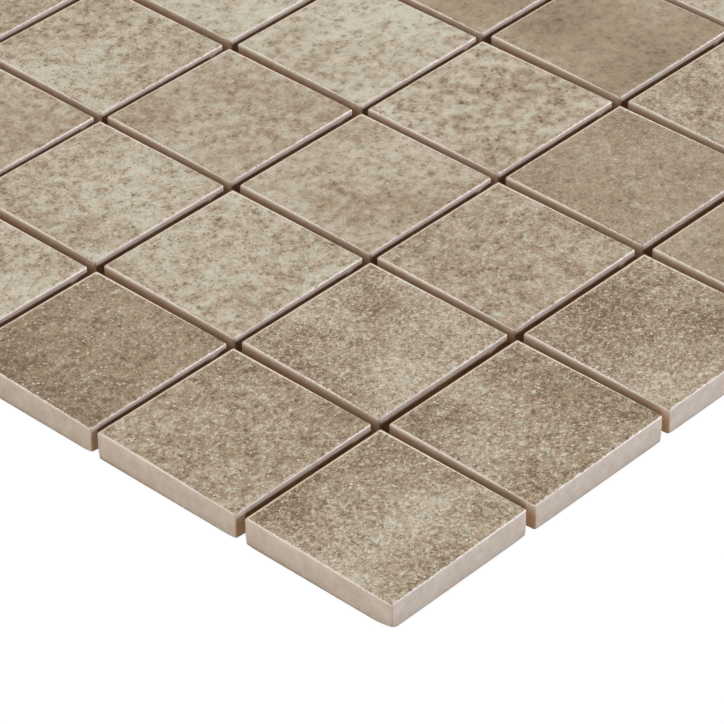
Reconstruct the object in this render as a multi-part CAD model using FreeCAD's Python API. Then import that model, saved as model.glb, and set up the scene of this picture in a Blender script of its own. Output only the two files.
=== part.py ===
# Mosaic tile sheet: square porcelain tiles kept on a common grid by glue dots at the back
import FreeCAD, Part
import math
import os
import random

# The grid of the sheet, in millimetres
tiles_per_side = 6
tile_size = 48.0
joint_width = 2.8

# One pressed tile
tile_thickness = 8.0
corner_radius = 0.7
arris_radius = 0.5
foot_height = 2.4
foot_inset = 0.2

# Keying grooves pressed into the back of a tile
groove_count = 5
groove_width = 4.0
groove_depth = 0.5
land_width = 4.0
groove_end_margin = 6.0

# Glue dots, each spread under two tiles and risen a little into their joint
dot_diameter = 10.0
dot_thickness = 0.4
tongue_length = 6.0
tongue_rise = 1.0
tongue_crown_inset = 0.3
tongue_side_clearance = 0.2

# How far the laying frame leaves a tile off its true place
lay_shift = 0.25
lay_turn_degrees = 0.2
lay_seed = 12

# How many flats stand for a quarter turn of each small radius, and for a whole dot
corner_flats = 3
arris_flats = 2
dot_flats = 16

# Everything below follows from the sizes above
pitch = tile_size + joint_width
half_sheet = tiles_per_side * pitch / 2
turn_reach = math.radians(lay_turn_degrees) * tile_size / 2
tongue_width = joint_width - 2 * (lay_shift + turn_reach + tongue_side_clearance)
upright = FreeCAD.Vector(0, 0, 1)


def ring(outline, level):
    """The points of a flat outline, lifted to a level."""
    return [FreeCAD.Vector(x, y, level) for x, y in outline]


def stacked(rings):
    """A closed solid through rings of matching points, from the lowest ring to the highest."""
    faces = [Part.Face(Part.makePolygon(r + r[:1])) for r in (rings[0], rings[-1])]
    for lower, upper in zip(rings, rings[1:]):
        for this in range(len(lower)):
            after = (this + 1) % len(lower)
            corners = [lower[this], lower[after], upper[after], upper[this], lower[this]]
            faces.append(Part.Face(Part.makePolygon(corners)))
    solid = Part.Solid(Part.Shell(faces))
    if solid.Volume < 0:
        solid.reverse()
    return solid


def square_outline(inset):
    """A tile's outline drawn in by an inset, with its four corners rounded."""
    radius = corner_radius - min(inset, corner_radius / 2)
    centre = tile_size / 2 - inset - radius
    points = []
    for quarter in range(4):
        for flat in range(corner_flats + 1):
            angle = math.radians(90 * (quarter + flat / corner_flats))
            x_side = 1 if quarter in (0, 3) else -1
            y_side = 1 if quarter in (0, 1) else -1
            x = x_side * centre + radius * math.cos(angle)
            y = y_side * centre + radius * math.sin(angle)
            points.append((x, y))
    return points


def tile_rings():
    """The outlines of a tile from its back, up its drawn-in foot and wall, to its eased face."""
    rings = [ring(square_outline(foot_inset), 0), ring(square_outline(0), foot_height)]
    arris_base = tile_thickness - arris_radius
    for flat in range(arris_flats + 1):
        angle = math.radians(90 * flat / arris_flats)
        inset = arris_radius * (1 - math.cos(angle))
        rings.append(ring(square_outline(inset), arris_base + arris_radius * math.sin(angle)))
    return rings


def keying_grooves():
    """The shallow parallel grooves in the back of a tile that the adhesive keys into."""
    length = tile_size - 2 * groove_end_margin
    step = groove_width + land_width
    first = -step * (groove_count - 1) / 2
    grooves = []
    for number in range(groove_count):
        left = first + step * number - groove_width / 2
        corner = FreeCAD.Vector(left, -length / 2, -groove_depth)
        grooves.append(Part.makeBox(groove_width, length, 2 * groove_depth, corner))
    return grooves


def pressed_tile():
    """One tile, standing on its back."""
    return stacked(tile_rings()).cut(keying_grooves()).Solids[0]


def laid_tiles(pattern):
    """Every tile of the sheet in its place, by node name."""
    chance = random.Random(lay_seed)
    tiles = {}
    for row in range(tiles_per_side):
        for column in range(tiles_per_side):
            x = (column + 0.5) * pitch - half_sheet + chance.uniform(-lay_shift, lay_shift)
            y = (row + 0.5) * pitch - half_sheet + chance.uniform(-lay_shift, lay_shift)
            turn = chance.uniform(-lay_turn_degrees, lay_turn_degrees)
            tile = pattern.copy()
            tile.rotate(FreeCAD.Vector(), upright, turn)
            tile.translate(FreeCAD.Vector(x, y, dot_thickness))
            tiles[f"tile_column{column + 1}_row{row + 1}"] = tile
    return tiles


def round_outline(diameter):
    """The outline of a dot, in short flats."""
    angles = [math.tau * (flat + 0.5) / dot_flats for flat in range(dot_flats)]
    return [(diameter / 2 * math.cos(a), diameter / 2 * math.sin(a)) for a in angles]


def tongue_outline(inset):
    """The outline of the glue risen into a joint, drawn in by an inset."""
    x = tongue_width / 2 - inset
    y = tongue_length / 2 - inset
    return [(x, -y), (x, y), (-x, y), (-x, -y)]


def glue_dot():
    """One dot: a flat disc under the joint, with a low tongue risen between the two tiles."""
    disc = stacked([ring(round_outline(dot_diameter), level) for level in (0, dot_thickness)])
    tongue = stacked(
        [
            ring(tongue_outline(0), 0),
            ring(tongue_outline(0), dot_thickness + tongue_rise / 2),
            ring(tongue_outline(tongue_crown_inset), dot_thickness + tongue_rise),
        ]
    )
    return disc.fuse(tongue).removeSplitter().Solids[0]


def dot_places():
    """The middle of every joint between two tiles, and how far the joint is turned there."""
    for along in range(tiles_per_side):
        for joint in range(1, tiles_per_side):
            middle = (along + 0.5) * pitch - half_sheet
            line = joint * pitch - half_sheet
            yield line, middle, 0
            yield middle, line, 90


def laid_dots(pattern):
    """The glue dots of the sheet, gathered into one node for each quarter of it."""
    quarters = {}
    for x, y, turn in dot_places():
        side = "left" if x < pitch / 4 else "right"
        end = "front" if y < pitch / 4 else "rear"
        dot = pattern.copy()
        dot.rotate(FreeCAD.Vector(), upright, turn)
        dot.translate(FreeCAD.Vector(x, y, 0))
        quarters.setdefault(f"glue_dots_{end}_{side}", []).append(dot)
    return {name: Part.makeCompound(dots) for name, dots in quarters.items()}


os.makedirs("parts", exist_ok=True)
nodes = laid_tiles(pressed_tile())
nodes.update(laid_dots(glue_dot()))
for name, shape in nodes.items():
    shape.exportStep(f"parts/{name}.step")
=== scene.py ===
import math
import random

import bpy
import numpy as np
from mathutils import Matrix, Vector, noise


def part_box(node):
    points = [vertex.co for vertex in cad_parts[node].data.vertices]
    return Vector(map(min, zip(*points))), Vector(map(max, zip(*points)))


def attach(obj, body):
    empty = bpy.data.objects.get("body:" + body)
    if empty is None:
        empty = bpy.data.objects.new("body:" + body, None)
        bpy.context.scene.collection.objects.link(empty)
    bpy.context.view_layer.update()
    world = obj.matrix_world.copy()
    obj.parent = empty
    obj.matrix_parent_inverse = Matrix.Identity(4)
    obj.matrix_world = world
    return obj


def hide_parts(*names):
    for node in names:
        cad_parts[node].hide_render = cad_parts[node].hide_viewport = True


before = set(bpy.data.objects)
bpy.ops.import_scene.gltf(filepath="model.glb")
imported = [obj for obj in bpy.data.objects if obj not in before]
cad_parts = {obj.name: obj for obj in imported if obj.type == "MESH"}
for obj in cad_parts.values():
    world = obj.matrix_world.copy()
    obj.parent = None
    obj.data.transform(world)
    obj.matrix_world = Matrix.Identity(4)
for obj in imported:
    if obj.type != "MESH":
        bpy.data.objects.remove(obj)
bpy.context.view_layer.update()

# The tiles. Each is a square of through-coloured porcelain body, pressed dry in a mould, printed
# with a stone pattern under a matt glaze and fired. The press leaves an eased arris round the
# face, a foot that draws in below the wall, and five keying grooves in the back.
MM = 0.001

# All sizes are in millimetres
TILE_SIDE = 48.0
TILE_THICKNESS = 8.0
CORNER_RADIUS = 0.5
ARRIS_RADIUS = 0.5
FOOT_HEIGHT = 2.4
FOOT_INSET = 0.1
FOOT_ROUNDING = 0.1
BACK_EASE = 0.15
GROOVE_WIDTH = 4.0
GROOVE_PITCH = 8.0
GROOVE_COUNT = 5
GROOVE_LENGTH = 36.0
GROOVE_DEPTH = 0.5
GROOVE_DRAFT = 0.2
FACE_RELIEF = 0.03
FACE_RELIEF_SIZE = 4.0
ARRIS_WANDER = 0.05
ARRIS_WANDER_SIZE = 2.5

# How far the print has slipped towards -X and -Y, as each side shows it
PRINT_SLIP = {(1, 0): 0.15, (-1, 0): 0.1, (0, 1): 0.3, (0, -1): 0.45}

# The most wear of a foot at its corners, and how far it reaches along each side
FOOT_WEAR = 0.3
WEAR_REACH = (2.2, 2.2)
FRONT_CORNER_WEAR = 0.9
FRONT_CORNER_REACH = (1.3, 3.4)

# The mesh is close at the walls and coarser between them. Its grid ends short of the arris
MESH_STEP = 1.1
LEAST_STEP = 0.55 * MESH_STEP
LINES_FROM_WALL = (0, 0.12, 0.26, 0.45, 0.7, 1.1, 1.6, 2.2)
STEPS_FROM_WALL = 3
FACE_MARGIN = 1.1
RING_MARGIN = 0.5
BACK_MARGIN = 0.8


def outline(unit, half, radius):
    """Points of a unit square's edge, moved to a square of this half side with round corners."""
    points = unit * half
    core = half - radius
    over = np.abs(points) - core
    in_corner = (over > 0).all(axis=1)
    reach = np.hypot(over[:, 0], over[:, 1])
    rounded = np.sign(points) * (core + over * (radius / np.maximum(reach, 1e-9))[:, None])
    return np.where(in_corner[:, None], rounded, points)


def slab(across, along, face, rings, back):
    """A closed slab: a grid for its face, rings of points down its side, and a grid for its back.

    across and along are the places of the grid's lines from -1 to 1. face and back turn them into
    points, and each ring turns the grid's edge into points.
    """
    columns, rows = len(across), len(along)
    x, y = np.meshgrid(across, along)
    unit = np.column_stack([x.ravel(), y.ravel()])
    place = np.arange(columns * rows).reshape(rows, columns)
    edge = np.concatenate([place[0, :-1], place[:-1, -1], place[-1, :0:-1], place[:0:-1, 0]])
    points = [face(unit)]
    loops = [edge]
    for ring in rings:
        loops.append(len(edge) * (len(loops) - 1) + columns * rows + np.arange(len(edge)))
        points.append(ring(unit[edge]))
    points.append(back(unit))
    first_of_back = sum(len(p) for p in points[:-1])
    loops.append(edge + first_of_back)
    quads = [
        np.stack([place[:-1, :-1], place[:-1, 1:], place[1:, 1:], place[1:, :-1]], -1),
        np.stack([place[:-1, :-1], place[1:, :-1], place[1:, 1:], place[:-1, 1:]], -1)
        + first_of_back,
    ]
    for upper, lower in zip(loops, loops[1:]):
        after = np.roll(upper, -1), np.roll(lower, -1)
        quads.append(np.column_stack([lower, after[1], after[0], upper]))
    return np.concatenate(points), np.concatenate([q.reshape(-1, 4) for q in quads])


def mesh_piece(name, points, quads):
    """An object of smooth quads, with its points given in millimetres of the sheet's frame."""
    mesh = bpy.data.meshes.new(name)
    mesh.from_pydata((points * MM).tolist(), [], quads.tolist())
    mesh.polygons.foreach_set("use_smooth", [True] * len(mesh.polygons))
    piece = bpy.data.objects.new(name, mesh)
    bpy.context.scene.collection.objects.link(piece)
    return piece


def tile_lines():
    """The places of the mesh's lines along a tile's side: close at the walls and the grooves."""
    half = TILE_SIDE / 2
    lines = [half - d for d in LINES_FROM_WALL] + [d - half for d in LINES_FROM_WALL]
    reach = (GROOVE_COUNT - 1) / 2
    for number in range(GROOVE_COUNT):
        middle = (number - reach) * GROOVE_PITCH
        for side in (-1, 1):
            wall = middle + side * GROOVE_WIDTH / 2
            lines += [wall - GROOVE_DRAFT, wall + GROOVE_DRAFT]
    middle_half = half - STEPS_FROM_WALL
    for place in np.arange(-middle_half, middle_half + 0.1, MESH_STEP):
        if min(abs(place - line) for line in lines) > LEAST_STEP:
            lines.append(float(place))
    return np.array(sorted(lines)) / half


def side_ring(inset, height):
    """A ring round a tile at an inset from its wall and a height over its back."""
    radius = CORNER_RADIUS - min(inset, CORNER_RADIUS / 2)
    if height < FOOT_HEIGHT:
        radius = CORNER_RADIUS + FOOT_ROUNDING * (1 - height / FOOT_HEIGHT)

    def ring(unit):
        flat = outline(unit, TILE_SIDE / 2 - inset, radius)
        return np.column_stack([flat, np.full(len(flat), height)])

    return ring


def tile_rings():
    """The rings of a tile's side, each after its distance over the arris's foot on the surface."""
    quarter = math.pi / 2
    arc = ARRIS_RADIUS * quarter
    base = TILE_THICKNESS - ARRIS_RADIUS
    rings = [(arc + RING_MARGIN, side_ring(ARRIS_RADIUS + RING_MARGIN, TILE_THICKNESS))]
    for share in (1, 0.8, 0.6, 0.4, 0.2, 0):
        inset = ARRIS_RADIUS * (1 - math.cos(share * quarter))
        height = TILE_THICKNESS - ARRIS_RADIUS * (1 - math.sin(share * quarter))
        rings.append((arc * share, side_ring(inset, height)))
    for height in (base - 0.5, base - 2.0, FOOT_HEIGHT + 1.2, FOOT_HEIGHT + 0.2):
        rings.append((height - base, side_ring(0, height)))
    for height in (FOOT_HEIGHT - 0.2, FOOT_HEIGHT / 2, BACK_EASE):
        inset = FOOT_INSET * (1 - height / FOOT_HEIGHT)
        rings.append((height - base, side_ring(inset, height)))
    for share in (0.5, 1):
        inset = FOOT_INSET + BACK_EASE * (1 - math.cos(share * quarter))
        rings.append((-base, side_ring(inset, BACK_EASE * (1 - math.sin(share * quarter)))))
    return rings


def groove_floor(points):
    """How deep each point of the back lies in a keying groove."""
    reach = (GROOVE_COUNT - 1) / 2 * GROOVE_PITCH
    x, y = points[:, 0], points[:, 1]
    within = (x + reach + GROOVE_PITCH / 2) % GROOVE_PITCH - GROOVE_PITCH / 2
    sunk = GROOVE_WIDTH / 2 + GROOVE_DRAFT - np.abs(within)
    sunk = np.minimum(sunk, GROOVE_LENGTH / 2 + GROOVE_DRAFT - np.abs(y))
    sunk = np.minimum(sunk, reach + GROOVE_WIDTH / 2 + GROOVE_DRAFT - np.abs(x))
    return GROOVE_DEPTH * np.clip(sunk / (2 * GROOVE_DRAFT), 0, 1)


def wander(points, size, seed):
    """A smooth random number for each point, about -1 to 1, that turns over in about this size."""
    return np.array([noise.noise(Vector((x / size, y / size, seed))) for x, y in points])


def make_tile(name, centre, turn, back, seed, front_wear, joint_sides):
    """One tile's mesh in its place, with where each point is on the print, edge and joints."""
    lines = tile_lines()
    face_half = TILE_SIDE / 2 - ARRIS_RADIUS - FACE_MARGIN
    back_half = TILE_SIDE / 2 - FOOT_INSET - BACK_EASE - BACK_MARGIN

    def face(unit):
        flat = unit * face_half
        rise = FACE_RELIEF * wander(flat, FACE_RELIEF_SIZE, seed)
        rise *= np.clip((1 - np.abs(unit).max(1)) * 8, 0, 1)
        return np.column_stack([flat, TILE_THICKNESS + rise])

    def under(unit):
        flat = unit * back_half
        return np.column_stack([flat, groove_floor(flat)])

    rings = tile_rings()
    points, quads = slab(lines, lines, face, [ring for over, ring in rings], under)

    # How far each point lies over the arris's foot. The print stops on the arris, a little askew
    grid = len(lines) ** 2
    loop = 4 * (len(lines) - 1)
    edge = np.full(len(points), ARRIS_RADIUS * math.pi / 2 + FACE_MARGIN)
    edge[len(points) - grid:] = -TILE_THICKNESS
    for number, (over, ring) in enumerate(rings):
        edge[grid + number * loop: grid + (number + 1) * loop] = over
    for side, slip in PRINT_SLIP.items():
        edge -= slip * sum(side) * np.maximum(points[:, :2] @ side, 0) / (TILE_SIDE / 2)

    # The arris wanders in and out, most of all half-way up
    near = np.exp(-((edge - 0.3) / 0.6) ** 2)
    pull = ARRIS_WANDER * near * (wander(points[:, :2], ARRIS_WANDER_SIZE, seed + 40) - 0.4)
    reach = np.maximum(np.abs(points[:, :2]).max(1, keepdims=True), 1.0)
    points[:, :2] *= 1 + pull[:, None] / reach

    # Each tile has its own place on the print, a painted highlight on the rims of its far sides,
    # and its joint walls for painted shade
    printed = points + [seed * 61.0, seed * 23.0, 0]
    # Painted highlight on the rims of the far sides, most on the +Y side
    far_highlight_share = np.clip(points[:, :2].max(1) - TILE_SIDE / 2 + 2, 0, 1)
    far_highlight_share *= np.where(points[:, 1] > points[:, 0], 1.0, 0.4)
    jointed = np.zeros(len(points))
    for side in joint_sides:
        over = points[:, :2] @ side - TILE_SIDE / 2
        jointed = np.maximum(jointed, np.clip((over + 0.5) / 0.4, 0, 1))

    # The foot is a little worn at each corner
    chance = random.Random(seed)
    low = np.clip(1 - points[:, 2] / FOOT_HEIGHT, 0, 1)
    for x, y in ((-1, -1), (1, -1), (1, 1), (-1, 1)):
        wear, reach = FOOT_WEAR * chance.random(), WEAR_REACH
        if (x, y) == (-1, -1) and front_wear:
            wear, reach = front_wear, FRONT_CORNER_REACH
        away = np.abs(points[:, :2] - np.array([x, y]) * TILE_SIDE / 2) / reach
        points[:, 2] += wear * low * np.exp(-away.sum(1) ** 2)

    turned = points @ np.array(Matrix.Rotation(-turn, 3, "Z"))
    piece = mesh_piece(name, turned + [centre[0], centre[1], back], quads)
    for title, kind, field, values in (
        ("print_place", "FLOAT_VECTOR", "vector", printed),
        ("over_edge", "FLOAT", "value", edge),
        ("in_joint", "FLOAT", "value", jointed),
        ("far_rim_highlight", "FLOAT", "value", far_highlight_share),
    ):
        layer = piece.data.attributes.new(title, kind, "POINT")
        layer.data.foreach_set(field, values.astype(np.float32).ravel())
    return piece


def colour(text):
    """The linear colour of an sRGB hex value."""
    parts = [int(text[i:i + 2], 16) / 255 for i in (1, 3, 5)]
    return [p / 12.92 if p <= 0.04045 else ((p + 0.055) / 1.055) ** 2.4 for p in parts] + [1.0]


def add(tree, kind, inputs=(), **settings):
    """The outputs of a new node. Each of its inputs is given a value, or the output to link to."""
    node = tree.nodes.new(kind)
    for name, value in settings.items():
        setattr(node, name, value)
    for socket, value in dict(inputs).items():
        if isinstance(value, bpy.types.NodeSocket):
            tree.links.new(value, node.inputs[socket])
        else:
            node.inputs[socket].default_value = value
    return node.outputs


def empty_material(name):
    """A new material and its node tree, with no nodes in it."""
    material = bpy.data.materials.new(name)
    material.use_nodes = True
    material.node_tree.nodes.clear()
    return material, material.node_tree


# Printed porcelain: a pale buff body that shows on the walls and the worn arris, and over it an
# ink-jet print of weathered stone in a matt glaze. The eye sees cloudy stone made of sand grains,
# with blots and flecks, and a thin pale rim where the print stops, brightened in beads and on the
# far sides by painted highlight. The walls that face a joint are painted darker brown as shade,
# and each foot has a thin painted shadow.
BODY_BUFF = "#d3c2ab"
BODY_SHADE = "#c2ad95"
# Painted shade for the walls that face a joint, darker with depth
JOINT_PAINTED_SHADE = "#b98f65"
# A painted shadow along the foot of every wall
FOOT_PAINTED_SHADOW = "#8a6640"
# The bare rim, made whiter than the body by painted highlight
RIM_BODY_AND_HIGHLIGHT = "#eadecb"
# A warm painted highlight on the rims of the far sides
RIM_FAR_HIGHLIGHT = "#ecd0a6"
STONE_PALE = "#d2c5ac"
STONE_MIDDLE = "#a79073"
STONE_DARK = "#6e573e"
FLECK_WHITE = "#d9ccb3"
FLECK_DARK = "#58422b"
FLECK_RUST = "#8d5e3b"
HUE_ROSE = "#fff5ec"
HUE_SAGE = "#f4fffc"
LOOK_VALUES = ("light", "drift", "islands", "sand", "white_flecks", "dark_flecks")


def printed_porcelain():
    """The tiles' material. It reads what make_tile wrote on the mesh, and each tile's own look."""
    material, tree = empty_material("printed_porcelain")
    place = add(tree, "ShaderNodeAttribute", attribute_name="print_place")["Vector"]
    edge = add(tree, "ShaderNodeAttribute", attribute_name="over_edge")["Fac"]
    in_joint = add(tree, "ShaderNodeAttribute", attribute_name="in_joint")["Fac"]
    far_rim_highlight = add(tree, "ShaderNodeAttribute", attribute_name="far_rim_highlight")["Fac"]
    own = {}
    for name in LOOK_VALUES:
        own[name] = add(
            tree, "ShaderNodeAttribute", attribute_type="OBJECT", attribute_name=name
        )["Fac"]

    # Noise round 0, by its coarsest grains in millimetres: stone clouds of 28, islands of 3.4 and
    # blooms of 2. The print's own dots are 0.1 and don't show, so crumbs and dust are drawn coarser
    cloud = {}
    for name, size, detail, rough, bend in (
        ("drift", 28, 1, 0.4, 0.0),
        ("islands", 3.4, 4, 0.6, 0.0),
        ("blooms", 2.0, 2, 0.6, 0.2),
        ("crumbs", 1.1, 1, 0.7, 0.0),
        ("dust", 0.45, 1, 0.8, 0.0),
        ("body", 3.0, 4, 0.6, 0.0),
        ("chips", 0.9, 3, 0.8, 0.0),
    ):
        wave = add(tree, "ShaderNodeTexNoise", {
            "Vector": place, "Scale": 1 / size, "Detail": detail, "Roughness": rough,
            "Distortion": bend,
        })["Fac"]
        cloud[name] = add(tree, "ShaderNodeMath", {0: wave, 1: 0.5}, operation="SUBTRACT")[0]

    # Crooked cells: each grain of sand and each fleck has its own place, size and tone. Sand is
    # 0.1 to 0.4 mm in such a stone, and is drawn at 0.42 and 0.85 so that it shows
    bent = add(tree, "ShaderNodeTexNoise", {"Vector": place, "Scale": 1 / 0.5, "Detail": 1.0})
    bent = add(
        tree, "ShaderNodeVectorMath", {0: bent["Color"], 1: (0.45, 0.45, 0.45), 2: place},
        operation="MULTIPLY_ADD",
    )["Vector"]
    sand = add(tree, "ShaderNodeMath", {0: cloud["crumbs"], 1: 0.6}, operation="MULTIPLY")[0]
    hue = cloud["blooms"]
    for size, weight in ((0.85, 0.26), (0.42, 0.34)):
        cell = add(tree, "ShaderNodeTexVoronoi", {"Vector": bent, "Scale": 1 / size})
        grain = add(tree, "ShaderNodeSeparateColor", {"Color": cell["Color"]})
        tone = add(tree, "ShaderNodeMath", {0: grain["Red"], 1: 0.5}, operation="SUBTRACT")[0]
        hue = add(
            tree, "ShaderNodeMath", {0: grain["Green"], 1: 0.5, 2: hue}, operation="MULTIPLY_ADD"
        )[0]
        sand = add(
            tree, "ShaderNodeMath", {0: tone, 1: weight, 2: sand}, operation="MULTIPLY_ADD"
        )[0]
    fleck = {}
    for name, size, radius, few, gain in (
        ("white", 0.95, 0.48, 2.8, 1.6),
        ("dark", 0.8, 0.46, 3.0, 2.1),
        ("blot", 1.5, 1.0, 1.0, 1.0),
    ):
        cell = add(tree, "ShaderNodeTexVoronoi", {"Vector": bent, "Scale": 1 / size})
        chance = add(tree, "ShaderNodeSeparateColor", {"Color": cell["Color"]})
        strength = add(tree, "ShaderNodeMath", {0: chance["Red"], 1: few}, operation="POWER")[0]
        reach = add(
            tree, "ShaderNodeMath", {0: chance["Green"], 1: radius / 2, 2: radius / 2},
            operation="MULTIPLY_ADD",
        )[0]
        away = add(tree, "ShaderNodeMath", {0: cell["Distance"], 1: reach}, operation="DIVIDE")[0]
        spot = add(
            tree, "ShaderNodeMapRange", {"Value": away, "From Min": 1.0, "From Max": 0.3},
            interpolation_type="SMOOTHSTEP",
        )["Result"]
        spot = add(tree, "ShaderNodeMath", {0: spot, 1: strength}, operation="MULTIPLY")[0]
        spot = add(tree, "ShaderNodeMath", {0: spot, 1: gain}, operation="MULTIPLY")[0]
        amount = own["islands"] if name == "blot" else own[f"{name}_flecks"]
        fleck[name] = add(
            tree, "ShaderNodeMath", {0: spot, 1: amount}, operation="MULTIPLY",
            use_clamp=name != "blot",
        )[0]

    # Stone: clouds, with blots crowded in the dark ones, then the sand, calmer where it is pale
    crowd = add(
        tree, "ShaderNodeMapRange",
        {"Value": cloud["islands"], "From Min": 0.09, "From Max": -0.1, "To Max": -0.25},
    )["Result"]
    stone = add(
        tree, "ShaderNodeMath", {0: fleck["blot"], 1: crowd, 2: own["light"]},
        operation="MULTIPLY_ADD",
    )[0]
    for name, part in (("drift", 1.0), ("islands", 0.55)):
        swing = add(tree, "ShaderNodeMath", {0: cloud[name], 1: part}, operation="MULTIPLY")[0]
        stone = add(
            tree, "ShaderNodeMath", {0: swing, 1: own[name], 2: stone}, operation="MULTIPLY_ADD"
        )[0]
    calm = add(
        tree, "ShaderNodeMapRange",
        {"Value": stone, "From Min": 0.5, "From Max": 0.95, "To Min": 1.0, "To Max": 0.45},
    )["Result"]
    bloom = add(
        tree, "ShaderNodeMapRange",
        {"Value": cloud["blooms"], "From Min": 0.06, "From Max": 0.2, "To Max": 0.3},
        interpolation_type="SMOOTHSTEP",
    )["Result"]
    stone = add(
        tree, "ShaderNodeMath", {0: bloom, 1: own["white_flecks"], 2: stone},
        operation="MULTIPLY_ADD",
    )[0]
    sand = add(tree, "ShaderNodeMath", {0: sand, 1: calm}, operation="MULTIPLY")[0]
    stone = add(
        tree, "ShaderNodeMath", {0: sand, 1: own["sand"], 2: stone}, operation="MULTIPLY_ADD",
        use_clamp=True,
    )[0]

    # Colour: a ramp from dark stone to pale, a little rosy or green from grain to grain, and then
    # the flecks. A colour mix has its factor and colours in inputs 0, 6 and 7, and is output 2
    ramp = add(tree, "ShaderNodeValToRGB", {"Fac": stone})["Color"]
    ramp.node.color_ramp.elements[0].color = colour(STONE_DARK)
    ramp.node.color_ramp.elements[1].color = colour(STONE_PALE)
    ramp.node.color_ramp.elements.new(0.5).color = colour(STONE_MIDDLE)
    hue = add(
        tree, "ShaderNodeMapRange", {"Value": hue, "From Min": 0.1, "From Max": 0.9}
    )["Result"]
    tint = add(
        tree, "ShaderNodeMix", {0: hue, 6: colour(HUE_ROSE), 7: colour(HUE_SAGE)},
        data_type="RGBA",
    )[2]
    ramp = add(
        tree, "ShaderNodeMix", {0: 1.0, 6: ramp, 7: tint}, data_type="RGBA",
        blend_type="MULTIPLY",
    )[2]
    rusty = add(
        tree, "ShaderNodeMapRange", {"Value": cloud["islands"], "From Min": -0.02, "From Max": 0.1}
    )["Result"]
    dark = add(
        tree, "ShaderNodeMix", {0: rusty, 6: colour(FLECK_DARK), 7: colour(FLECK_RUST)},
        data_type="RGBA",
    )[2]
    face = add(
        tree, "ShaderNodeMix", {0: fleck["white"], 6: ramp, 7: colour(FLECK_WHITE)},
        data_type="RGBA",
    )[2]
    face = add(tree, "ShaderNodeMix", {0: fleck["dark"], 6: face, 7: dark}, data_type="RGBA")[2]

    # Body: even, with a faint cloud. The sides that face a joint are painted darker brown as shade,
    # more so with depth, and every side has a thin painted shadow at the foot
    shade = add(
        tree, "ShaderNodeMapRange", {"Value": cloud["body"], "From Min": -0.2, "From Max": 0.2}
    )["Result"]
    body = add(
        tree, "ShaderNodeMix", {0: shade, 6: colour(BODY_BUFF), 7: colour(BODY_SHADE)},
        data_type="RGBA",
    )[2]
    facing = add(
        tree, "ShaderNodeMapRange", {"Value": in_joint, "To Min": 0.06, "To Max": 1.0}
    )["Result"]
    # Painted shade: the walls that face a joint go dark brown with depth, the outer walls a little
    joint_shade_share = add(
        tree, "ShaderNodeMapRange", {"Value": edge, "From Min": 0.5, "From Max": -3.0}
    )["Result"]
    joint_shade_share = add(tree, "ShaderNodeMath", {0: joint_shade_share, 1: facing}, operation="MULTIPLY")[0]
    body = add(
        tree, "ShaderNodeMix", {0: joint_shade_share, 6: body, 7: colour(JOINT_PAINTED_SHADE)}, data_type="RGBA"
    )[2]
    height = add(
        tree, "ShaderNodeMath", {0: cloud["chips"], 1: 1.2, 2: edge}, operation="MULTIPLY_ADD"
    )[0]
    # Painted shadow: a thin ragged dark band along the foot of every wall
    foot_shadow_share = add(
        tree, "ShaderNodeMapRange",
        {"Value": height, "From Min": -6.2, "From Max": -7.5, "To Max": 0.6},
        interpolation_type="SMOOTHSTEP",
    )["Result"]
    body = add(
        tree, "ShaderNodeMix", {0: foot_shadow_share, 6: body, 7: colour(FOOT_PAINTED_SHADOW)}, data_type="RGBA"
    )[2]

    # Rim: the print stops raggedly on the arris, where the bare body shows, whiter in beads that
    # are partly painted highlight
    rim = add(
        tree, "ShaderNodeMapRange", {"Value": edge, "From Min": 0.25, "From Max": 0.5},
        interpolation_type="SMOOTHSTEP",
    )["Result"]
    beads_and_glints = add(
        tree, "ShaderNodeMapRange", {"Value": cloud["dust"], "From Min": -0.14, "From Max": 0.02},
        interpolation_type="SMOOTHSTEP",
    )["Result"]
    rim = add(tree, "ShaderNodeMath", {0: rim, 1: beads_and_glints}, operation="MULTIPLY")[0]
    # The rims of the far sides take a warm painted highlight
    pale = add(
        tree, "ShaderNodeMix", {0: far_rim_highlight, 6: colour(RIM_BODY_AND_HIGHLIGHT), 7: colour(RIM_FAR_HIGHLIGHT)},
        data_type="RGBA",
    )[2]
    body = add(tree, "ShaderNodeMix", {0: rim, 6: body, 7: pale}, data_type="RGBA")[2]
    printed = add(
        tree, "ShaderNodeMapRange", {"Value": height, "From Min": 0.72, "From Max": 0.86},
        interpolation_type="SMOOTHSTEP",
    )["Result"]
    base = add(tree, "ShaderNodeMix", {0: printed, 6: body, 7: face}, data_type="RGBA")[2]

    # Matt glaze: rough, with the sand standing just proud of it
    rough = add(
        tree, "ShaderNodeMath", {0: cloud["crumbs"], 1: 0.4, 2: 0.6}, operation="MULTIPLY_ADD"
    )[0]
    raised = add(
        tree, "ShaderNodeMath", {0: fleck["white"], 1: 0.5, 2: sand}, operation="MULTIPLY_ADD"
    )[0]
    normal = add(
        tree, "ShaderNodeBump", {"Height": raised, "Strength": 0.35, "Distance": 0.1 * MM}
    )["Normal"]
    surface = add(tree, "ShaderNodeBsdfPrincipled", {
        "Base Color": base, "Roughness": rough, "Normal": normal, "IOR": 1.5,
        "Specular IOR Level": 0.3,
    })["BSDF"]
    add(tree, "ShaderNodeOutputMaterial", {"Surface": surface})
    return material


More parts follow.
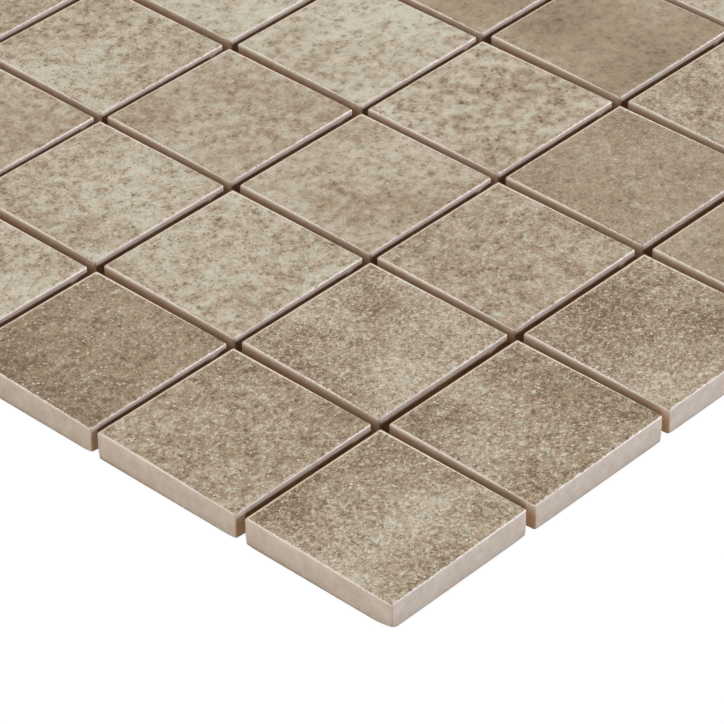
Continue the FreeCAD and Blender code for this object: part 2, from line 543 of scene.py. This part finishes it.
# The looks of the stone, each with its share of every one of the look values
LOOKS = {
    "sandy": (0.525, 1.2, 0.95, 1.4, 1.0, 1.1),
    "loamy": (0.46, 0.9, 1.0, 1.4, 1.1, 1.1),
    "earthy": (0.39, 0.8, 1.2, 1.3, 1.2, 1.1),
    "dun": (0.475, 0.4, 1.5, 1.1, 0.9, 1.0),
    "cloudy": (0.57, 0.3, 1.7, 0.9, 0.8, 0.8),
    "dusky": (0.32, 0.5, 1.2, 0.9, 0.9, 0.9),
    "light": (0.735, 0.6, 1.8, 0.8, 0.5, 1.1),
    "soft": (0.64, 0.6, 1.6, 0.45, 0.3, 0.8),
    "pale": (0.82, 0.6, 1.9, 0.3, 0.1, 0.6),
    "patchy": (0.74, 0.6, 2.3, 0.5, 0.2, 0.6),
    "tan": (0.47, 0.4, 0.9, 0.7, 0.45, 0.5),
    "brown": (0.45, 0.7, 1.0, 0.25, 0.15, 0.3),
}

# How the prints fall on the sheet, front row first
SHEET = """
    sandy  earthy loamy  tan    tan    sandy
    dun    sandy  cloudy tan    cloudy light
    dusky  light  soft   patchy brown  pale
    light  light  soft   pale   brown  sandy
    sandy  soft   light  pale   dun    patchy
    pale   brown  cloudy earthy light  sandy
"""
looks = [line.split() for line in SHEET.strip().splitlines()]

# Each tile takes the place and turn of its own node, whose corners give the turn
porcelain = printed_porcelain()
tiles_a_side = len(looks)
centres = {}
for node in sorted(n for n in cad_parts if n.startswith("tile_")):
    low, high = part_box(node)
    column, row = (int(part.strip("columnrow")) for part in node.split("_")[1:])
    corners = np.array([v.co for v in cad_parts[node].data.vertices])
    centre = (np.array(low) + np.array(high))[:2] / 2
    ways = (corners[:, 0] - centre[0] + 1j * (corners[:, 1] - centre[1])) ** 4
    turn = float(np.angle(-ways.sum())) / 4
    centres[column, row] = centre / MM
    front_wear = FRONT_CORNER_WEAR if column == row == 1 else 0
    joint_sides = [
        np.array(side) for side in ((-1, 0), (1, 0), (0, -1), (0, 1))
        if 1 <= column + side[0] <= tiles_a_side and 1 <= row + side[1] <= tiles_a_side
    ]
    tile = make_tile(
        f"{node}_printed", centre / MM, turn, low.z / MM, row * 7 + column, front_wear, joint_sides
    )
    tile.data.materials.append(porcelain)
    for name, value in zip(LOOK_VALUES, LOOKS[looks[row - 1][column - 1]]):
        tile[name] = value
    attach(tile, "root")
    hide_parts(node)


# The glue dots. Each is a drop of clear plastisol, squeezed flat under two tiles and a little way
# up into their joint, then cured to a soft rubbery pad that holds the two on their grid.
TILE_PITCH = 50.8
DOT_RADIUS = 4.95
DOT_WAVE = 0.04
DOT_THICKNESS = 0.4
RIDGE_LENGTH = 6.0
RIDGE_RISE = 1.0
RIDGE_CLEARANCE = 0.15
RIDGE_SLOPE = 0.3

# The mesh is square in its middle, and turns round towards its edge
SQUARE_SHARE = 0.64
EDGE_EASE = 0.25
GRID_HALF = 5.0
LINES_ACROSS = (5.0, 4.7, 4.2, 3.4, 2.4)
LINES_IN_RIDGE_EDGE = (-0.1, 0.05, 0.15, 0.3, 0.7)
LINES_ALONG = (5.0, 4.7, 4.2, 3.6, 3.05, 2.85, 2.6, 1.7, 0.8)


def eased(share):
    """0 to 1 with a soft start and end."""
    share = np.clip(share, 0, 1)
    return share * share * (3 - 2 * share)


def dot_mesh(place, turn, gap, aside, seed):
    """One dot: a wavy round pad, with a ridge risen in a joint of this gap and this far aside."""
    half_ridge = gap / 2 - RIDGE_CLEARANCE
    across = [aside]
    along = [0.0]
    for side in (-1, 1):
        across += [side * far for far in LINES_ACROSS]
        across += [aside + side * (half_ridge - back) for back in LINES_IN_RIDGE_EDGE]
        along += [side * far for far in LINES_ALONG]
    across = np.array(sorted(across)) / GRID_HALF
    along = np.array(sorted(along)) / GRID_HALF

    def flat(unit, radius):
        most = np.abs(unit).max(1)
        reach = np.maximum(np.hypot(unit[:, 0], unit[:, 1]), 1e-9)
        share = eased((most - SQUARE_SHARE) / (1 - SQUARE_SHARE))
        round_way = unit * (1 + share * (most / reach - 1))[:, None]
        wave = 1 + DOT_WAVE * share * (wander(unit / reach[:, None], 0.8, seed) - 0.6)
        return round_way * radius * wave[:, None]

    def face(unit):
        points = flat(unit, DOT_RADIUS - EDGE_EASE)
        x, y = points[:, 0] - aside, points[:, 1]
        ridge = eased((half_ridge - np.abs(x)) / RIDGE_SLOPE)
        ridge = ridge * eased((RIDGE_LENGTH / 2 - np.abs(y)) / (2 * RIDGE_SLOPE))
        sag = 1 - 0.25 * (y / (RIDGE_LENGTH / 2)) ** 2 + 0.1 * wander(points, 1.5, seed)
        return np.column_stack([points, DOT_THICKNESS + RIDGE_RISE * ridge * np.minimum(sag, 1)])

    def side_level(inset, height):
        return lambda unit: np.column_stack(
            [flat(unit, DOT_RADIUS - inset), np.full(len(unit), height)]
        )

    def under(unit):
        points = flat(unit, DOT_RADIUS - EDGE_EASE)
        return np.column_stack([points, np.zeros(len(points))])

    rings = [side_level(0.08, 0.36), side_level(0.0, 0.2), side_level(0.08, 0.04)]
    points, quads = slab(across, along, face, rings, under)
    points = points @ np.array(Matrix.Rotation(-turn, 3, "Z"))
    return points + [place[0], place[1], 0], quads


# Plastisol: a plasticised vinyl paste, cast and cured. It is milky and a little see-through, with
# small bubbles under a skin that is smooth where it touched the tile and dull where it didn't.
GLUE_MILK = "#dbd6c6"
GLUE_CLEAR = "#c3bda9"
GLUE_BUBBLE = "#f0ede2"


def plastisol():
    """The glue's material, with milky streaks 2 mm wide and bubbles of 0.3 mm, 0.7 mm apart."""
    material, tree = empty_material("plastisol")
    place = add(tree, "ShaderNodeTexCoord")["Object"]
    wave = add(
        tree, "ShaderNodeTexNoise",
        {"Vector": place, "Scale": 1 / (2.2 * MM), "Detail": 3.0, "Distortion": 0.4},
    )["Fac"]
    milk = add(
        tree, "ShaderNodeMapRange", {"Value": wave, "From Min": 0.35, "From Max": 0.62},
        interpolation_type="SMOOTHSTEP",
    )["Result"]
    base = add(
        tree, "ShaderNodeMix", {0: milk, 6: colour(GLUE_CLEAR), 7: colour(GLUE_MILK)},
        data_type="RGBA",
    )[2]
    cell = add(tree, "ShaderNodeTexVoronoi", {"Vector": place, "Scale": 1 / (0.7 * MM)})
    bubble = add(
        tree, "ShaderNodeMapRange", {"Value": cell["Distance"], "From Min": 0.22, "From Max": 0.12},
        interpolation_type="SMOOTHSTEP",
    )["Result"]
    base = add(
        tree, "ShaderNodeMix", {0: bubble, 6: base, 7: colour(GLUE_BUBBLE)}, data_type="RGBA"
    )[2]
    rough = add(
        tree, "ShaderNodeMapRange",
        {"Value": wave, "From Min": 0.3, "From Max": 0.7, "To Min": 0.28, "To Max": 0.5},
    )["Result"]
    raised = add(
        tree, "ShaderNodeMath", {0: bubble, 1: 0.6, 2: wave}, operation="MULTIPLY_ADD"
    )[0]
    normal = add(
        tree, "ShaderNodeBump", {"Height": raised, "Strength": 0.4, "Distance": 0.05 * MM}
    )["Normal"]
    surface = add(
        tree, "ShaderNodeBsdfPrincipled",
        {"Base Color": base, "Roughness": rough, "Normal": normal, "IOR": 1.52},
    )["BSDF"]
    add(tree, "ShaderNodeOutputMaterial", {"Surface": surface})
    return material


# One dot lies at the middle of each joint, and four nodes share them, one for each quarter
quarters = {}
for column, row in sorted(centres):
    middle = (np.array([column, row]) - (tiles_a_side + 1) / 2) * TILE_PITCH
    for axis, turn in ((0, 0.0), (1, math.pi / 2)):
        beyond = (column + 1, row) if axis == 0 else (column, row + 1)
        if beyond not in centres:
            continue
        place = middle.copy()
        place[axis] += TILE_PITCH / 2
        walls = centres[column, row][axis], centres[beyond][axis]
        gap = walls[1] - walls[0] - TILE_SIDE
        aside = sum(walls) / 2 - place[axis]
        side = "left" if place[0] < TILE_PITCH / 4 else "right"
        end = "front" if place[1] < TILE_PITCH / 4 else "rear"
        dot = dot_mesh(place, turn, gap, aside, 300 + len(quarters) + row * 14 + column * 2 + axis)
        quarters.setdefault(f"glue_dots_{end}_{side}", []).append(dot)

vinyl = plastisol()
for node, dots in quarters.items():
    starts = np.cumsum([0] + [len(points) for points, quads in dots])
    points = np.concatenate([points for points, quads in dots])
    quads = np.concatenate([dot[1] + start for dot, start in zip(dots, starts)])
    piece = mesh_piece(f"{node}_cured", points, quads)
    piece.data.materials.append(vinyl)
    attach(piece, "root")
    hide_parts(node)


# The stage is a white table that the camera sees as plain white. It throws little light back
# close round the sheet, and under the sheet it is dark grey: painted shade that the joints show.
# From below it is clear there, so that the back shows, and lets a lamp's light through to the
# tiles and dots but not into the joints.
TABLE_HALF = 2000
DIM_HALF = 164
COVERED_HALF = 146
LIT_TILE_HALF = 23.6
LIT_DOT_HALF = 4.5
TABLE_GREY = 0.8
# DIM_GREY is the light thrown back round the sheet, and the painted shade of the floor under it
DIM_GREY = 0.15
SHOWN_WHITE = 1.05
SHOWN_SHARE = 0.9
WORLD_LEVEL = 0.02

squares = [
    (half * x, half * y, 0)
    for half in (TABLE_HALF, DIM_HALF, COVERED_HALF)
    for x, y in ((-1, -1), (1, -1), (1, 1), (-1, 1))
]
frames = [
    (start + side, start + (side + 1) % 4, start + 4 + (side + 1) % 4, start + 4 + side)
    for start in (0, 4)
    for side in range(4)
]

# Of each four strips of the covered table, three lie under a tile, and the second under its middle
lines = [
    (tile + 0.5 - tiles_a_side / 2) * TILE_PITCH + away
    for tile in range(tiles_a_side)
    for away in (-LIT_TILE_HALF, -LIT_DOT_HALF, LIT_DOT_HALF, LIT_TILE_HALF)
]
lines[0] = -COVERED_HALF
lines[-1] = COVERED_HALF
patches = []
patch_is_lit = []
for row in range(len(lines) - 1):
    for column in range(len(lines) - 1):
        corner = len(squares) + row * len(lines) + column
        patches.append((corner, corner + 1, corner + 1 + len(lines), corner + len(lines)))
        under_tile = row % 4 != 3 and column % 4 != 3
        patch_is_lit.append(under_tile or 1 in (row % 4, column % 4))

floor_mesh = bpy.data.meshes.new("floor")
floor_points = np.array(squares + [(x, y, 0) for y in lines for x in lines]) * MM
floor_mesh.from_pydata(floor_points.tolist(), [], frames + patches)
floor = bpy.data.objects.new("floor", floor_mesh)
bpy.context.scene.collection.objects.link(floor)


def seen_as_white(tree):
    """1 for the rays that show the ground behind the object, and 0 for the rays that light it."""
    path = add(tree, "ShaderNodeLightPath")
    seen = path["Is Camera Ray"]
    for ray in ("Is Glossy Ray", "Is Transmission Ray"):
        seen = add(tree, "ShaderNodeMath", {0: seen, 1: path[ray]}, operation="MAXIMUM")[0]
    return seen


for name, thrown in (("white_table", TABLE_GREY), ("dim_table", DIM_GREY)):
    table, tree = empty_material(name)
    seen = seen_as_white(tree)
    grey = add(
        tree, "ShaderNodeMapRange", {"Value": seen, "To Min": thrown, "To Max": TABLE_GREY}
    )["Result"]
    diffuse = add(tree, "ShaderNodeBsdfDiffuse", {"Color": grey})["BSDF"]
    glow = add(tree, "ShaderNodeEmission", {"Strength": SHOWN_WHITE})["Emission"]
    part = add(tree, "ShaderNodeMath", {0: seen, 1: SHOWN_SHARE}, operation="MULTIPLY")[0]
    both = add(tree, "ShaderNodeMixShader", {0: part, 1: diffuse, 2: glow})[0]
    add(tree, "ShaderNodeOutputMaterial", {"Surface": both})
    floor_mesh.materials.append(table)
for name, lit in (("shade_painted_table", 0.0), ("covered_table_lit", 1.0)):
    table, tree = empty_material(name)
    shadow = add(tree, "ShaderNodeLightPath")["Is Shadow Ray"]
    below = add(tree, "ShaderNodeNewGeometry")["Backfacing"]
    clear = add(
        tree, "ShaderNodeMath", {0: shadow, 1: lit, 2: below}, operation="MULTIPLY_ADD",
        use_clamp=True,
    )[0]
    # Painted shade: the floor under the sheet is dark grey where the joints show it
    diffuse = add(tree, "ShaderNodeBsdfDiffuse", {"Color": [DIM_GREY] * 3 + [1]})["BSDF"]
    glass = add(tree, "ShaderNodeBsdfTransparent")["BSDF"]
    both = add(tree, "ShaderNodeMixShader", {0: clear, 1: diffuse, 2: glass})[0]
    add(tree, "ShaderNodeOutputMaterial", {"Surface": both})
    floor_mesh.materials.append(table)
table_of_face = [0] * 4 + [1] * 4 + [3 if lit else 2 for lit in patch_is_lit]
floor_mesh.polygons.foreach_set("material_index", table_of_face)

world = bpy.data.worlds.new("studio")
world.use_nodes = True
tree = world.node_tree
tree.nodes.clear()
dim = add(tree, "ShaderNodeBackground", {"Color": (1, 1, 1, 1), "Strength": WORLD_LEVEL})[0]
white = add(tree, "ShaderNodeBackground", {"Color": (1, 1, 1, 1), "Strength": 1.0})[0]
both = add(tree, "ShaderNodeMixShader", {0: seen_as_white(tree), 1: dim, 2: white})[0]
add(tree, "ShaderNodeOutputWorld", {"Surface": both})
bpy.context.scene.world = world


def lamp(name, direction, distance, size, level, tint):
    """A soft box that faces the sheet. Its level is what it gives a surface turned to it."""
    data = bpy.data.lights.new(name, "AREA")
    data.shape = "RECTANGLE"
    data.size, data.size_y = size
    data.energy = level * math.pi**2 * distance**2
    data.color = colour(tint)[:3]
    box = bpy.data.objects.new(name, data)
    towards = Vector(direction).normalized()
    across = Vector((0, 1, 0)).cross(towards).cross(towards).normalized()
    tilt = Matrix((across, towards.cross(across), towards)).transposed()
    box.location = towards * distance
    box.rotation_euler = tilt.to_euler()
    bpy.context.scene.collection.objects.link(box)


# The key comes low from the right and leaves one way of the joints dark. A long box on the left
# and one overhead fill the faces, and a low card in front lights the outer walls. One box stands
# under the table for the back. Lamps and camera are placed in metres.
lamp("key_box", (0.86, -0.45, 0.228), 3.0, (0.25, 0.25), 1.54, "#e1e9ff")
lamp("side_box", (-0.82, 0.01, 0.57), 2.0, (0.2, 2.8), 0.57, "#fbfaff")
lamp("top_box", (-0.05, 0.01, 1.0), 2.0, (0.2, 1.0), 0.535, "#e3edff")
lamp("low_card", (-0.72, -0.69, 0.05), 2.0, (0.12, 0.9), 0.5, "#e8efff")
lamp("under_box", (0.0, 0.0, -1.0), 6.0, (0.6, 0.6), 1.3, "#e8efff")

# The camera stands over the sheet's front corner, at the photograph's angle. Its place was fitted
# to where the joints cross in the photograph
CAMERA_TURN = 43.652
CAMERA_LIFT = 36.357
CAMERA_ROLL = 0.983
CAMERA_DISTANCE = 1.00554
CAMERA_LENS = 198.2
SENSOR_WIDTH = 36.0
FARTHEST_SEEN = 20
AIM = Vector((-0.085915, -0.080736, 0.0084))
turn, lift = math.radians(CAMERA_TURN), math.radians(CAMERA_LIFT)
reach = math.cos(lift)
away = Vector((-math.cos(turn) * reach, -math.sin(turn) * reach, math.sin(lift)))
roll = Matrix.Rotation(math.radians(-CAMERA_ROLL), 3, "Z")
camera_data = bpy.data.cameras.new("camera")
camera_data.sensor_width = SENSOR_WIDTH
camera_data.lens = CAMERA_LENS
camera_data.clip_end = FARTHEST_SEEN
camera = bpy.data.objects.new("camera", camera_data)
camera.location = AIM + away * CAMERA_DISTANCE
camera.rotation_euler = (away.to_track_quat("Z", "Y").to_matrix() @ roll).to_euler()
bpy.context.scene.collection.objects.link(camera)
bpy.context.scene.camera = camera
bpy.context.scene.view_settings.view_transform = "Standard"
